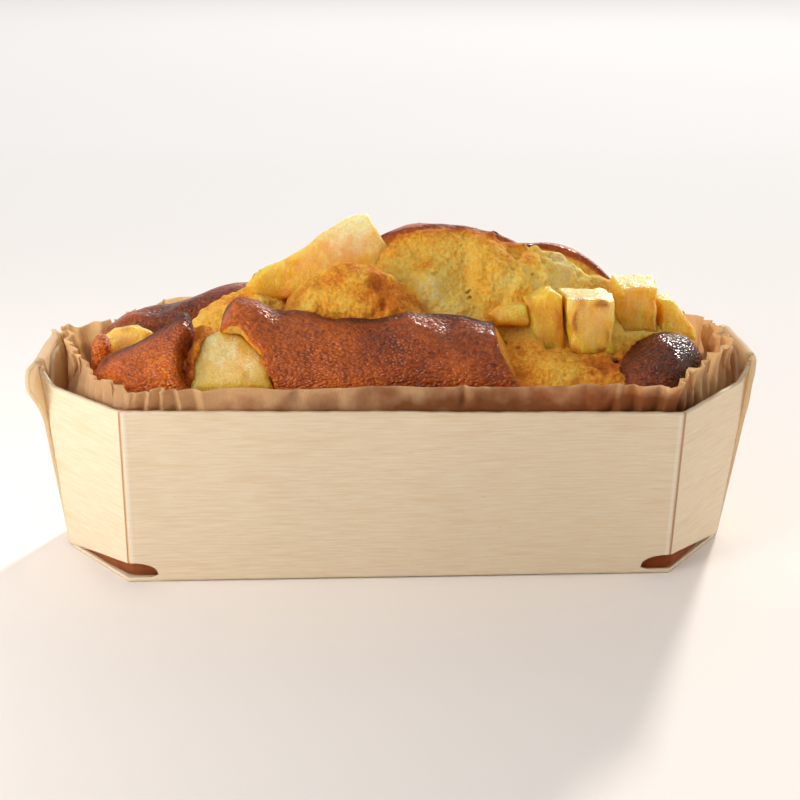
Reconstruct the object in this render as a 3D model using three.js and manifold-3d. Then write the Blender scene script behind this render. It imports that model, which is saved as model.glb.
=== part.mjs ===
// A pear loaf cake, baked and sold in its mould of folded poplar veneer with a baking-paper liner.
// Millimetres, +X along the mould, +Y to its back, +Z up, origin under the middle of the base.
// Assembly: wood_tray holds paper_liner, which holds cake, and the pear chunks sit in its crust.

import * as THREE from 'three';
import Module from 'manifold-3d';
import { mergeVertices } from 'three/addons/utils/BufferGeometryUtils.js';
import { ConvexGeometry } from 'three/addons/geometries/ConvexGeometry.js';

const wasm = await Module();
wasm.setup();

// ---- driving dimensions ----

const VENEER = 1.2; // poplar veneer
const PAPER = 0.5; // the liner's wall, pleats pressed together
const GAP = 0.3; // air between pieces that touch

// the mould's outside at the table and at its rim: half length, half width, and the corner
// panel's run along X and along Y
const BASE = { z: 0, halfLength: 92.1, halfWidth: 29.8, cornerX: 19.6, cornerY: 23 };
const RIM = { z: 50, halfLength: 94.7, halfWidth: 38, cornerX: 23.8, cornerY: 25 };
const LEAN_OF_END = Math.atan((RIM.halfLength - BASE.halfLength) / RIM.z);

const EAR_TOP = 55; // inner ears, folded in from the corner panels
const EAR_HALF_WIDTH = 12.5;
const FLAP_TOP = 57.5; // end flap outside the ears
const FLAP_FOOT_HALF_WIDTH = 6.8;
const WING_HALF_WIDTH = 18.5; // the flap's rounded wings stand past the corner folds
const WING_FOOT = 39;
const TONGUE_HALF_WIDTH = 8; // the flap's top edge, folded over inwards
const TONGUE_FOOT = 43;

const VENT_HEIGHT = 6.3; // open corner between the base and the corner panel
const VENT_INBOARD = 7.9; // how far its slot runs into the long panel

const LINER_TOP = 57;
const LINER_END_HALF_LENGTH = 91.2; // the liner's ends stand clear of the tongues
const CRUST_FOOT = 50; // where the cake's side ends and its top begins

// ---- small geometry tools ----

// a closed solid for cutting and joining, from any closed geometry
function solidOf(geometry) {
  const bare = geometry.clone();
  bare.deleteAttribute('normal');
  bare.deleteAttribute('uv');
  const merged = mergeVertices(bare, 1e-4);
  const index = merged.index.array;
  const triangles = [];
  for (let i = 0; i < index.length; i += 3) {
    const [a, b, c] = index.slice(i, i + 3);
    if (a !== b && b !== c && c !== a) triangles.push(a, b, c);
  }
  const vertProperties = new Float32Array(merged.attributes.position.array);
  const triVerts = new Uint32Array(triangles);
  return new wasm.Manifold(new wasm.Mesh({ numProp: 3, vertProperties, triVerts }));
}

function geometryOf(solid) {
  const mesh = solid.getMesh();
  const geometry = new THREE.BufferGeometry();
  geometry.setAttribute('position', new THREE.BufferAttribute(mesh.vertProperties, 3));
  geometry.setIndex(new THREE.BufferAttribute(mesh.triVerts, 1));
  geometry.computeVertexNormals();
  return geometry;
}

function geometryFrom(points, triangles) {
  const geometry = new THREE.BufferGeometry();
  geometry.setAttribute('position', new THREE.Float32BufferAttribute(points.flat(), 3));
  geometry.setIndex(triangles.flat());
  return geometry;
}

// the mould's octagon at one height, inset from the outside of its wall
function octagonAt(z, inset, halfLength = null) {
  const t = (z - BASE.z) / (RIM.z - BASE.z);
  const at = (key) => THREE.MathUtils.lerp(BASE[key], RIM[key], t);
  const length = halfLength ?? at('halfLength') - inset;
  const width = at('halfWidth') - inset;
  const cornerInset = inset * (2 - Math.SQRT2);
  const foldX = length - at('cornerX') + cornerInset;
  const foldY = width - at('cornerY') + cornerInset;
  return [
    [-foldX, -width, z],
    [foldX, -width, z],
    [length, -foldY, z],
    [length, foldY, z],
    [foldX, width, z],
    [-foldX, width, z],
    [-length, foldY, z],
    [-length, -foldY, z],
  ];
}

// bands of faces between rings of equal count, each ring seen anticlockwise from above
function bandsBetween(ringCount, pointsPerRing) {
  const triangles = [];
  for (let ring = 0; ring + 1 < ringCount; ring += 1) {
    for (let i = 0; i < pointsPerRing; i += 1) {
      const next = (i + 1) % pointsPerRing;
      const [a, b] = [ring * pointsPerRing + i, ring * pointsPerRing + next];
      triangles.push([a, b, b + pointsPerRing], [a, b + pointsPerRing, a + pointsPerRing]);
    }
  }
  return triangles;
}

function fan(first, count, facingUp) {
  const triangles = [];
  for (let i = 1; i + 1 < count; i += 1) {
    triangles.push(facingUp ? [first, first + i, first + i + 1] : [first, first + i + 1, first + i]);
  }
  return triangles;
}

// a tapering block between two octagons
function octagonBlock(bottom, top) {
  const count = bottom.length;
  const triangles = [...fan(0, count, false), ...bandsBetween(2, count), ...fan(count, count, true)];
  return solidOf(geometryFrom([...bottom, ...top], triangles));
}

function shapeOf(outline) {
  return new THREE.Shape(outline.map(([u, v]) => new THREE.Vector2(u, v)));
}

// ---- the mould: one blank of veneer, scored and folded ----

// a plate in the end wall's leaning plane; outwards is measured from the ears' outer face
function endPlate(shape, outwards, thickness) {
  const options = { depth: thickness, bevelEnabled: false, curveSegments: 5 };
  const geometry = new THREE.ExtrudeGeometry(shape, options);
  geometry.rotateX(Math.PI / 2);
  geometry.rotateZ(Math.PI / 2);
  geometry.translate(outwards, 0, 0);
  geometry.rotateY(LEAN_OF_END);
  geometry.translate(BASE.halfLength, 0, 0);
  return geometry;
}

// the end flap's outline: narrow at the base, with rounded wings at the top
function flapShape() {
  const shape = new THREE.Shape();
  const shoulder = EAR_HALF_WIDTH;
  const wingRadius = 5;
  const tip = WING_HALF_WIDTH;
  shape.moveTo(-FLAP_FOOT_HALF_WIDTH, 0);
  shape.lineTo(FLAP_FOOT_HALF_WIDTH, 0);
  shape.lineTo(shoulder, WING_FOOT);
  shape.quadraticCurveTo(tip - 3, WING_FOOT + 7, tip, FLAP_TOP - wingRadius);
  shape.quadraticCurveTo(tip, FLAP_TOP, tip - wingRadius, FLAP_TOP);
  shape.lineTo(-tip + wingRadius, FLAP_TOP);
  shape.quadraticCurveTo(-tip, FLAP_TOP, -tip, FLAP_TOP - wingRadius);
  shape.quadraticCurveTo(-tip + 3, WING_FOOT + 7, -shoulder, WING_FOOT);
  return shape;
}

// two ears overlap across the end: together they are one plate with rounded top corners
function earShape() {
  const foot = 30;
  const round = 7;
  const shape = new THREE.Shape();
  shape.moveTo(-FLAP_FOOT_HALF_WIDTH, foot);
  shape.lineTo(FLAP_FOOT_HALF_WIDTH, foot);
  shape.lineTo(EAR_HALF_WIDTH, RIM.z - 1);
  shape.quadraticCurveTo(EAR_HALF_WIDTH, EAR_TOP, EAR_HALF_WIDTH - round, EAR_TOP);
  shape.lineTo(-EAR_HALF_WIDTH + round, EAR_TOP);
  shape.quadraticCurveTo(-EAR_HALF_WIDTH, EAR_TOP, -EAR_HALF_WIDTH, RIM.z - 1);
  return shape;
}

function rectangle(halfWidth, foot, top) {
  return shapeOf([
    [-halfWidth, foot],
    [halfWidth, foot],
    [halfWidth, top],
    [-halfWidth, top],
  ]);
}

// everything that closes the +X end, joined: ears, flap, and the flap's edge folded over inwards
function endClosure() {
  const bite = 0.1; // pieces of one blank are joined a little into each other
  const ears = endPlate(earShape(), -VENEER, VENEER);
  const flap = endPlate(flapShape(), -bite, VENEER + bite);
  const overTop = rectangle(TONGUE_HALF_WIDTH, EAR_TOP - bite, FLAP_TOP);
  const fold = endPlate(overTop, -2 * VENEER, 3 * VENEER);
  const tongue = endPlate(rectangle(TONGUE_HALF_WIDTH, TONGUE_FOOT, FLAP_TOP), -2 * VENEER, VENEER + bite);
  return [flap, fold, tongue].map(solidOf).reduce((sum, piece) => sum.add(piece), solidOf(ears));
}

// the open corner at the front left: a rounded slot in the long panel and a wedge under the
// corner panel, down to the base
function ventCutter() {
  const foldX = BASE.halfLength - BASE.cornerX;
  const slot = [
    [-foldX + VENT_INBOARD, VENEER],
    [-foldX + VENT_INBOARD, 2.6],
    [-foldX + 6, 5],
    [-foldX + 3.2, VENT_HEIGHT],
    [-foldX, VENT_HEIGHT],
  ];
  const wallY = -BASE.halfWidth;
  const slotPoints = slot.flatMap(([x, z]) => [
    new THREE.Vector3(x, wallY - 3, z),
    new THREE.Vector3(x, wallY + 3, z),
  ]);
  const endX = -BASE.halfLength;
  const endY = -(BASE.halfWidth - BASE.cornerY);
  const wedgePoints = [
    new THREE.Vector3(endX - 3, endY - 4, VENEER),
    new THREE.Vector3(endX + 3, endY - 0.5, VENEER),
    new THREE.Vector3(endX + 3, endY - 0.5, VENEER + 0.3),
    new THREE.Vector3(-foldX - 3, wallY - 3, VENT_HEIGHT),
  ];
  return new ConvexGeometry([...slotPoints, ...wedgePoints]);
}

function trayGeometry() {
  const wall = RIM.z + 1; // the hollow runs past the rim
  const outside = octagonBlock(octagonAt(0, 0), octagonAt(RIM.z, 0));
  const hollow = octagonBlock(octagonAt(VENEER, VENEER), octagonAt(wall, VENEER));
  let tray = outside.subtract(hollow);
  for (const half of [0, Math.PI]) {
    tray = tray.add(endClosure().rotate([0, 0, THREE.MathUtils.radToDeg(half)]));
  }
  const vent = solidOf(ventCutter());
  const vents = [vent, vent.scale([-1, 1, 1]), vent.scale([1, -1, 1]), vent.scale([-1, -1, 1])];
  return geometryOf(vents.reduce((rest, cutter) => rest.subtract(cutter), tray));
}

// ---- the baking-paper liner ----

function linerGeometry() {
  const clear = VENEER + GAP;
  const outside = octagonBlock(
    octagonAt(clear, clear, BASE.halfLength - clear - GAP),
    octagonAt(LINER_TOP, clear, LINER_END_HALF_LENGTH),
  );
  const hollow = octagonBlock(
    octagonAt(clear + PAPER, clear + PAPER, BASE.halfLength - clear - GAP - PAPER),
    octagonAt(LINER_TOP + 0.01, clear + PAPER, LINER_END_HALF_LENGTH - PAPER),
  );
  return geometryOf(outside.subtract(hollow));
}

// ---- the cake ----

// the crust's risen lobes, as ellipsoids: centre, then half sizes
const LOBES = [
  { name: 'loaf', at: [0, 0, 46], half: [92, 41, 17] },
  { name: 'front_left', at: [-61, -20, 50], half: [21, 16, 21] },
  { name: 'front_bulge', at: [-38, -14, 60], half: [10, 10, 16] },
  { name: 'front_long', at: [-1, -22, 53], half: [34, 14, 18.5] },
  { name: 'middle_hump', at: [-12, -11, 64], half: [20, 11, 17.5] },
  { name: 'torn_left', at: [-38, 4, 58], half: [14, 12, 15.5] },
  { name: 'back_high', at: [10, 10, 62], half: [32, 20, 26.5] },
  { name: 'torn_ridge', at: [38, 3, 60], half: [24, 9, 19] },
  { name: 'back_left', at: [-46, 11, 49], half: [36, 20, 20] },
  { name: 'back_right', at: [38, 14, 52], half: [30, 20, 28.5] },
  { name: 'right_crumb', at: [52, -4, 52], half: [28, 17, 15] },
  { name: 'front_right', at: [68, -19, 50], half: [16, 14, 15] },
  { name: 'caramel_knob', at: [-81, -8, 53], half: [5, 5, 8] },
];

function crustHeight(x, y) {
  const heights = LOBES.map(({ at, half }) => {
    const room = 1 - ((x - at[0]) / half[0]) ** 2 - ((y - at[1]) / half[1]) ** 2;
    return room > 0 ? at[2] + half[2] * Math.sqrt(room) : 0;
  });
  return Math.max(CRUST_FOOT, ...heights);
}

// points round an octagon, with more on its long sides
function pointsRound(octagon, perSide = [30, 5, 4, 5, 30, 5, 4, 5]) {
  return octagon.flatMap((corner, side) => {
    const next = octagon[(side + 1) % octagon.length];
    const steps = [...Array(perSide[side]).keys()];
    return steps.map((step) => {
      const t = step / perSide[side];
      return corner.map((value, axis) => THREE.MathUtils.lerp(value, next[axis], t));
    });
  });
}

// the top closes on a line along the middle, so its rings run from the side to that line
function cakeGeometry() {
  const inset = VENEER + GAP + PAPER + GAP;
  const foot = pointsRound(octagonAt(inset, inset, BASE.halfLength - inset - GAP));
  const endAtCrust = THREE.MathUtils.lerp(BASE.halfLength, LINER_END_HALF_LENGTH, 0.6) - inset;
  const edge = pointsRound(octagonAt(CRUST_FOOT, inset, endAtCrust));
  const rings = 14;
  const middleLine = 0.62; // of the cake's length
  const points = [...foot, ...edge];
  for (let ring = 1; ring <= rings; ring += 1) {
    const t = (ring / rings) ** 1.35;
    for (const [edgeX, edgeY] of edge) {
      const x = THREE.MathUtils.lerp(edgeX, edgeX * middleLine, t);
      const y = ring === rings ? 0 : edgeY * (1 - t);
      points.push([x, y, crustHeight(x, y)]);
    }
  }
  const count = foot.length;
  const triangles = [...fan(0, count, false), ...bandsBetween(rings + 2, count)];
  return geometryFrom(points, triangles);
}

// ---- the pear chunks ----

// each is cut fruit: an outline seen from the front (right, up), its thickness, the place of its
// middle, the turn about the vertical and the lean back, in degrees
const PEARS = {
  pear_front: {
    outline: [[-9.5, -8], [11, -8], [8.2, 1], [2.7, 7.2], [-3.5, 7.7], [-8, 4.6], [-9.8, -0.7]],
    thickness: 9,
    at: [-43.6, -24, 59.2],
    turn: 0,
    lean: 38,
  },
  pear_shard: {
    outline: [[-20.8, -5.3], [-17, -9], [18, -9], [20.5, -0.2], [14.2, 8.4], [11.8, 13.3],
      [5.7, 12.2], [-6.4, 3.6], [-16.7, -1]],
    thickness: 7,
    at: [-20, 4.5, 77.5],
    turn: 4,
    lean: 20,
  },
  pear_cube_left: {
    outline: [[-5.4, -8], [6.6, -8.2], [5.2, 6.6], [-7.2, 7.2]],
    thickness: 12,
    at: [49.8, -14, 67],
    turn: 2,
    lean: 4,
  },
  pear_cube_right: {
    outline: [[-5.2, -7], [5.8, -6.6], [5, 6.4], [-5.2, 6.2]],
    thickness: 13,
    at: [63.6, -5, 68.8],
    turn: -3,
    lean: 0,
  },
  pear_wedge: {
    outline: [[-1.8, -8], [4.6, -8], [3.2, 6.8], [0.5, 8.4], [-6.2, 6]],
    thickness: 9,
    at: [38.6, -12.5, 66.4],
    turn: -4,
    lean: 12,
  },
  pear_sliver: {
    outline: [[-4, -5.5], [5.5, -5], [5, -1.5], [-1, 5.5], [-4, 5.5]],
    thickness: 9,
    at: [74.2, -5, 64.5],
    turn: 0,
    lean: 8,
  },
  pear_lens: {
    outline: [[-2.2, -3], [5, -2.4], [4.8, 1.2], [-2.5, 2.2], [-5.5, -0.5]],
    thickness: 7,
    at: [27.6, -12.5, 68.4],
    turn: 0,
    lean: 30,
  },
  pear_left: {
    outline: [[-8, -5], [7, -5], [6.5, 2.5], [2, 4.7], [-3.3, 3.7], [-7.7, -0.5]],
    thickness: 9,
    at: [-73.5, 2, 58],
    turn: 0,
    lean: 25,
  },
  pear_back_left: {
    outline: [[-7, -6], [6.4, -6.5], [7, 5.6], [-6.2, 6.4]],
    thickness: 11,
    at: [-27, 22, 62],
    turn: 170,
    lean: 35,
  },
  pear_back_right: {
    outline: [[-6.4, -6], [6, -6.6], [5.4, 6.2], [-5.6, 5.6]],
    thickness: 12,
    at: [47, 25, 63.5],
    turn: 200,
    lean: 30,
  },
};

const PEAR_BEVEL = 0.8; // cut edges soften as the fruit bakes

// grow makes the pocket that the chunk sits in
function pearGeometry({ outline, thickness }, grow = 0) {
  const geometry = new THREE.ExtrudeGeometry(shapeOf(outline), {
    depth: thickness - 2 * PEAR_BEVEL,
    bevelThickness: PEAR_BEVEL + grow,
    bevelSize: PEAR_BEVEL + grow,
    bevelOffset: -PEAR_BEVEL,
    bevelSegments: 2,
  });
  geometry.translate(0, 0, PEAR_BEVEL - thickness / 2);
  return geometry;
}

// outlines are drawn upright, facing the front: the lean is taken off a quarter turn about X
function place(object, { at, turn, lean }) {
  const { degToRad } = THREE.MathUtils;
  object.position.set(...at);
  object.rotation.set(degToRad(90 - lean), 0, degToRad(turn), 'ZXY');
  object.updateMatrix();
}

function cakeWithPockets() {
  let cake = solidOf(cakeGeometry());
  for (const pear of Object.values(PEARS)) {
    const placed = new THREE.Object3D();
    place(placed, pear);
    cake = cake.subtract(solidOf(pearGeometry(pear, GAP).applyMatrix4(placed.matrix)));
  }
  return geometryOf(cake);
}

// ---- the assembly ----

function named(name, geometry, colour, roughness) {
  const material = new THREE.MeshStandardMaterial({ color: colour, roughness, metalness: 0 });
  const mesh = new THREE.Mesh(geometry, material);
  mesh.name = name;
  return mesh;
}

const cakeInMould = new THREE.Group();
cakeInMould.add(named('wood_tray', trayGeometry(), 0xecd6ba, 0.8));
cakeInMould.add(named('paper_liner', linerGeometry(), 0xb08a5e, 0.85));
cakeInMould.add(named('cake', cakeWithPockets(), 0xa8541c, 0.45));
for (const [name, pear] of Object.entries(PEARS)) {
  const chunk = named(name, pearGeometry(pear), 0xe8cf7a, 0.35);
  place(chunk, pear);
  cakeInMould.add(chunk);
}

export default cakeInMould;
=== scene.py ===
# A pear loaf cake in its folded poplar-veneer mould with a pleated baking-paper liner.
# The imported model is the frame: each piece is made in its own place and rides on the one body.
import math

import bmesh
import bpy
import numpy as np
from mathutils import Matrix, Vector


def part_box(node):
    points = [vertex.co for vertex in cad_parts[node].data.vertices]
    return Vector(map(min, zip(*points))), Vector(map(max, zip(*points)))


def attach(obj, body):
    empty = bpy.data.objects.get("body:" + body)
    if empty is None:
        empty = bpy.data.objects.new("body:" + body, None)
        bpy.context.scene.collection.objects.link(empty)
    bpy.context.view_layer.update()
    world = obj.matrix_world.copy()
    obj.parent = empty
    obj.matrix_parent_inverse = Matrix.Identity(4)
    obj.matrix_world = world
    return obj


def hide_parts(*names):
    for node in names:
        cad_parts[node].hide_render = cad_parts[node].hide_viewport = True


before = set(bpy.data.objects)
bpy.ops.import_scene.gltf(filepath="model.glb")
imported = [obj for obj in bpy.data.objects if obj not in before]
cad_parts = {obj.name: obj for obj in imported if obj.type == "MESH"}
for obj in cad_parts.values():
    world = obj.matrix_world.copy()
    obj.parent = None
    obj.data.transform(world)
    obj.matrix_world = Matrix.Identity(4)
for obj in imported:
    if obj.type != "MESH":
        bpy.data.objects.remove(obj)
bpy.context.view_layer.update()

import openvdb as vdb
from mathutils import Quaternion, Vector

# ---- camera ----
# Someone seated at the table looks at the long front side from a little to its left, from
# about two hand spans away, and sees over the rim on to the crust.
MM = 0.001  # sizes below are in millimetres

look_at = Vector((0.84, 2.25, 39.06)) * MM
look_azimuth, look_elevation = math.radians(-3.24), math.radians(20.51)
look_roll = math.radians(0.57)
look_distance = 371.6 * MM
towards_camera = Vector((
    math.sin(look_azimuth) * math.cos(look_elevation),
    -math.cos(look_azimuth) * math.cos(look_elevation),
    math.sin(look_elevation),
))
camera = bpy.data.objects.new("camera", bpy.data.cameras.new("camera"))
camera.data.lens = 59.6
camera.data.sensor_width = 36
camera.data.clip_start, camera.data.clip_end = 0.02, 20
camera.location = look_at + towards_camera * look_distance
camera.rotation_mode = "QUATERNION"
camera.rotation_quaternion = (
    (-towards_camera).to_track_quat("-Z", "Y") @ Quaternion((0, 0, 1), look_roll)
)
bpy.context.collection.objects.link(camera)
bpy.context.scene.camera = camera


# ---- wood mould ----
# Rotary-cut poplar veneer, 1.2 mm thick, die-cut, scored and folded up damp. Each long side with
# its corner panels and ears is one strip, and the base with its two end flaps is another.
# The grain runs along the mould in the sides and up the end flaps.
VENEER = 1.2
tray_hi = [np.array(corner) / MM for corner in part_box("wood_tray")][1]
RIM_Z = 50.0
BASE_HALF_LENGTH, BASE_HALF_WIDTH, RIM_HALF_WIDTH = 92.1, 29.8, 38
BASE_FOLDS = np.array([(-92.1, -6.8), (-72.5, -29.8), (72.5, -29.8), (92.1, -6.8)])
RIM_FOLDS = np.array([(-94.7, -13.0), (-70.9, -38.0), (70.9, -38.0), (94.7, -13.0)])
EAR_LENGTH = 23.0
CORNER_PANEL = 34
LONG_PANEL, LONG_PANEL_FOOT = 143.5, 145  # midway up, and along the base
VENT_HEIGHT, VENT_INBOARD, VENT_TIP = 6.3, 8.2, 2.3


def smooth_step(low, high, value):
    t = np.clip((value - low) / (high - low), 0, 1)
    return t * t * (3 - 2 * t)


def bump(value, middle, width):
    return np.exp(-(((value - middle) / width) ** 2))


def wobble(value, seed, period, size):
    """A smooth wandering line: three sines of unlike periods with seeded phases."""
    phases = np.random.default_rng(seed).uniform(0, 2 * math.pi, 3)
    waves = [np.sin(2 * math.pi * value / (period * k) + p) for k, p in zip((1, 0.61, 0.37), phases)]
    return size * (waves[0] + 0.6 * waves[1] + 0.4 * waves[2]) / 2


def grid_normals(grid):
    along = np.gradient(grid, axis=0)
    up = np.gradient(grid, axis=1)
    normal = np.cross(along, up)
    return normal / np.maximum(np.linalg.norm(normal, axis=2, keepdims=True), 1e-9)


def sheet_solid(outer, inner):
    """A closed sheet from two grids of the same size: points and faces."""
    rows, columns = outer.shape[:2]
    count = rows * columns
    index = np.arange(count).reshape(rows, columns)
    a, b, c, d = index[:-1, :-1], index[1:, :-1], index[1:, 1:], index[:-1, 1:]
    front = np.stack([a, b, c, d], -1).reshape(-1, 4)
    back = front[:, ::-1] + count
    edge = np.concatenate([index[:-1, 0], index[-1, :-1], index[:0:-1, -1], index[0, :0:-1]])
    following = np.roll(edge, -1)
    rim = np.stack([edge, edge + count, following + count, following], -1)
    points = np.concatenate([outer.reshape(-1, 3), inner.reshape(-1, 3)])
    return points, np.concatenate([front, back, rim])


def mesh_object(name, points_mm, faces, uv=None, values=None):
    """A piece from points in millimetres; uv and values hold one entry for each point."""
    mesh = bpy.data.meshes.new(name)
    mesh.from_pydata((np.asarray(points_mm) * MM).tolist(), [], [list(f) for f in faces])
    for key, value in (values or {}).items():
        layer = mesh.attributes.new(key, "FLOAT", "POINT")
        layer.data.foreach_set("value", np.ascontiguousarray(value, np.float32))
    if uv is not None:
        corner_points = np.zeros(len(mesh.loops), np.int32)
        mesh.loops.foreach_get("vertex_index", corner_points)
        layer = mesh.uv_layers.new(name="grain")
        layer.data.foreach_set("uv", np.asarray(uv, np.float32)[corner_points].ravel())
    mesh.polygons.foreach_set("use_smooth", np.ones(len(mesh.polygons), bool))
    piece = bpy.data.objects.new(name, mesh)
    bpy.context.collection.objects.link(piece)
    return piece


def faces_outwards(piece):
    work = bmesh.new()
    work.from_mesh(piece.data)
    bmesh.ops.recalc_face_normals(work, faces=work.faces)
    work.to_mesh(piece.data)
    work.free()


def side_strip(seed, corner_rise, ear_inset):
    """A long side with its corner panels and ears, on the front; the outer face, then the inner."""
    ear_base = BASE_FOLDS[[0, 3]] + [(0, EAR_LENGTH), (0, EAR_LENGTH)]
    ear_rim = RIM_FOLDS[[0, 3]] + [(0, EAR_LENGTH), (0, EAR_LENGTH)]
    base = np.array([ear_base[0], *BASE_FOLDS, ear_base[1]])
    rim = np.array([ear_rim[0], *RIM_FOLDS, ear_rim[1]])
    near_fold = np.array([0, 0.25, 0.5, 0.8, 1.2])
    place = []
    panels = (EAR_LENGTH, CORNER_PANEL, LONG_PANEL_FOOT, CORNER_PANEL, EAR_LENGTH)
    for part, (length, count) in enumerate(zip(panels, (22, 34, 180, 34, 22))):
        steps = np.linspace(near_fold[-1], length - near_fold[-1], count)[1:-1]
        columns = np.concatenate([near_fold, steps, length - near_fold[::-1]])[:-1]
        place.extend(part + columns / length)
    place = np.array([*place, 5.0])
    part = np.minimum(place.astype(int), 4)
    fraction = (place - part)[:, None]
    base_line = base[part] * (1 - fraction) + base[part + 1] * fraction
    rim_line = rim[part] * (1 - fraction) + rim[part + 1] * fraction
    folds = np.cumsum([0, EAR_LENGTH, CORNER_PANEL, LONG_PANEL, CORNER_PANEL, EAR_LENGTH])
    along = np.interp(place, range(6), folds - folds[-1] / 2)

    # the cut top edge: level along the side, a small horn at each corner fold, then the round ear
    from_corner_fold = np.minimum(abs(place - 1) * CORNER_PANEL, abs(place - 4) * CORNER_PANEL)
    top = np.interp(place, [1, 2, 3, 4], [50.4, *corner_rise, 50.2])
    top = top + 4.6 * np.clip(1 - from_corner_fold / 5.5, 0, 1) ** 1.3 + wobble(along, seed, 9, 0.09)
    into_ear = np.clip(np.maximum(1 - place, place - 4), 0, 1) * EAR_LENGTH
    ear_top = 55.2 - 1.6 * bump(into_ear, 3.5, 2.2) - 7 * np.clip((into_ear - 16) / 7, 0, 1) ** 2.4
    top = np.where(into_ear > 0, ear_top, top)

    # the cut bottom edge: a round-tipped vent in the long panel and a slope under the corner panel
    from_side_fold = np.where(part == 2, np.minimum(place - 2, 3 - place) * LONG_PANEL, 0)
    into_round = np.clip(from_side_fold / VENT_INBOARD, 0, 1)
    slot = VENT_TIP + (VENT_HEIGHT - VENT_TIP) * np.sqrt(1 - into_round ** 2.3)
    bottom = np.where((part == 2) & (from_side_fold < VENT_INBOARD), slot, 0)
    corner_fraction = np.where(part == 1, place - 1, np.where(part == 3, 4 - place, 0))
    slope = 0.5 + (VENT_HEIGHT - 0.5) * corner_fraction ** 0.9
    bottom = np.where((part == 1) | (part == 3), slope, bottom)
    bottom = np.where(into_ear > 0, 2 + 26 * smooth_step(0, 10, into_ear), bottom)

    rows = np.concatenate([[0, 0.4, 0.8, 1.2, 1.8], np.linspace(3, 47, 28), [48.3, 49.3, 49.8, RIM_Z]])
    rows = rows / RIM_Z
    height = bottom[:, None] + (top - bottom)[:, None] * rows[None, :]
    lean = (height / RIM_Z)[..., None]
    plan = base_line[:, None, :] * (1 - lean) + rim_line[:, None, :] * lean
    outer = np.concatenate([plan, height[..., None]], 2)
    normal = grid_normals(outer)

    # the bottom fold is round, and damp veneer dries a little bowed
    fold = np.clip(VENEER - height, 0, VENEER)
    round_in = VENEER - np.sqrt(np.maximum(VENEER ** 2 - fold ** 2, 0))
    round_in = round_in * (from_side_fold > VENT_INBOARD)[:, None]
    free = np.sin(math.pi * np.clip(height / RIM_Z, 0, 1)) ** 0.7
    bow = free * wobble(along, seed + 1, 95, 0.35)[:, None]
    bow = bow + (height / RIM_Z) ** 2 * wobble(along, seed + 2, 60, 0.3)[:, None]
    bow = bow * ((part == 2) * smooth_step(0, 12, from_side_fold))[:, None]
    score = np.maximum(bump(place, 2, 0.0032), bump(place, 3, 0.0032))
    score = np.maximum(score, np.maximum(bump(place, 1, 0.012), bump(place, 4, 0.012)))
    lips = np.maximum(bump(abs(place - 2), 0.0072, 0.0028), bump(abs(place - 3), 0.0072, 0.0028))
    push = bow - round_in - 0.34 * score[:, None] + 0.10 * lips[:, None]
    flap_gap = VENEER * (1 - np.clip(height / 57, 0, 1)) + 0.1
    ear_step = (ear_inset + flap_gap) * smooth_step(0.5, 4, into_ear)[:, None]
    outer = outer + normal * (push - ear_step)[..., None]
    inner = outer - grid_normals(outer) * VENEER
    uv = np.stack(np.broadcast_arrays(along[:, None], height), -1).reshape(-1, 2)
    marks = {"score": score, "lip": lips, "free": smooth_step(0, 1, into_ear)}
    values = {k: np.repeat(v[:, None], rows.size, 1).ravel() for k, v in marks.items()}
    return outer, inner, uv, values


def under_vent_strip():
    """The low lip of the long side that runs on under the vent to the base's corner."""
    corner_x = -72.4
    x = np.linspace(corner_x, -60, 60)
    into_round = np.clip((x - corner_x) / VENT_INBOARD, 0, 1)
    top = 0.8 + (VENT_TIP - 0.8) * into_round ** 3
    rows = np.linspace(0, 1, 8)
    height = top[:, None] * rows
    outward = 29.75 + (RIM_HALF_WIDTH - BASE_HALF_WIDTH) * height / RIM_Z
    fold = np.clip(VENEER - height, 0, VENEER)
    outward = outward - (VENEER - np.sqrt(VENEER ** 2 - fold ** 2))
    outer = np.stack([np.repeat(x[:, None], rows.size, 1), -outward, height], -1)
    inner = outer + np.array([0, VENEER * 0.9, 0.1])
    uv = np.stack([outer[..., 0], height], -1).reshape(-1, 2)
    blank = np.zeros(height.size)
    return outer, inner, uv, {"score": blank, "lip": blank, "free": blank}


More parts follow.
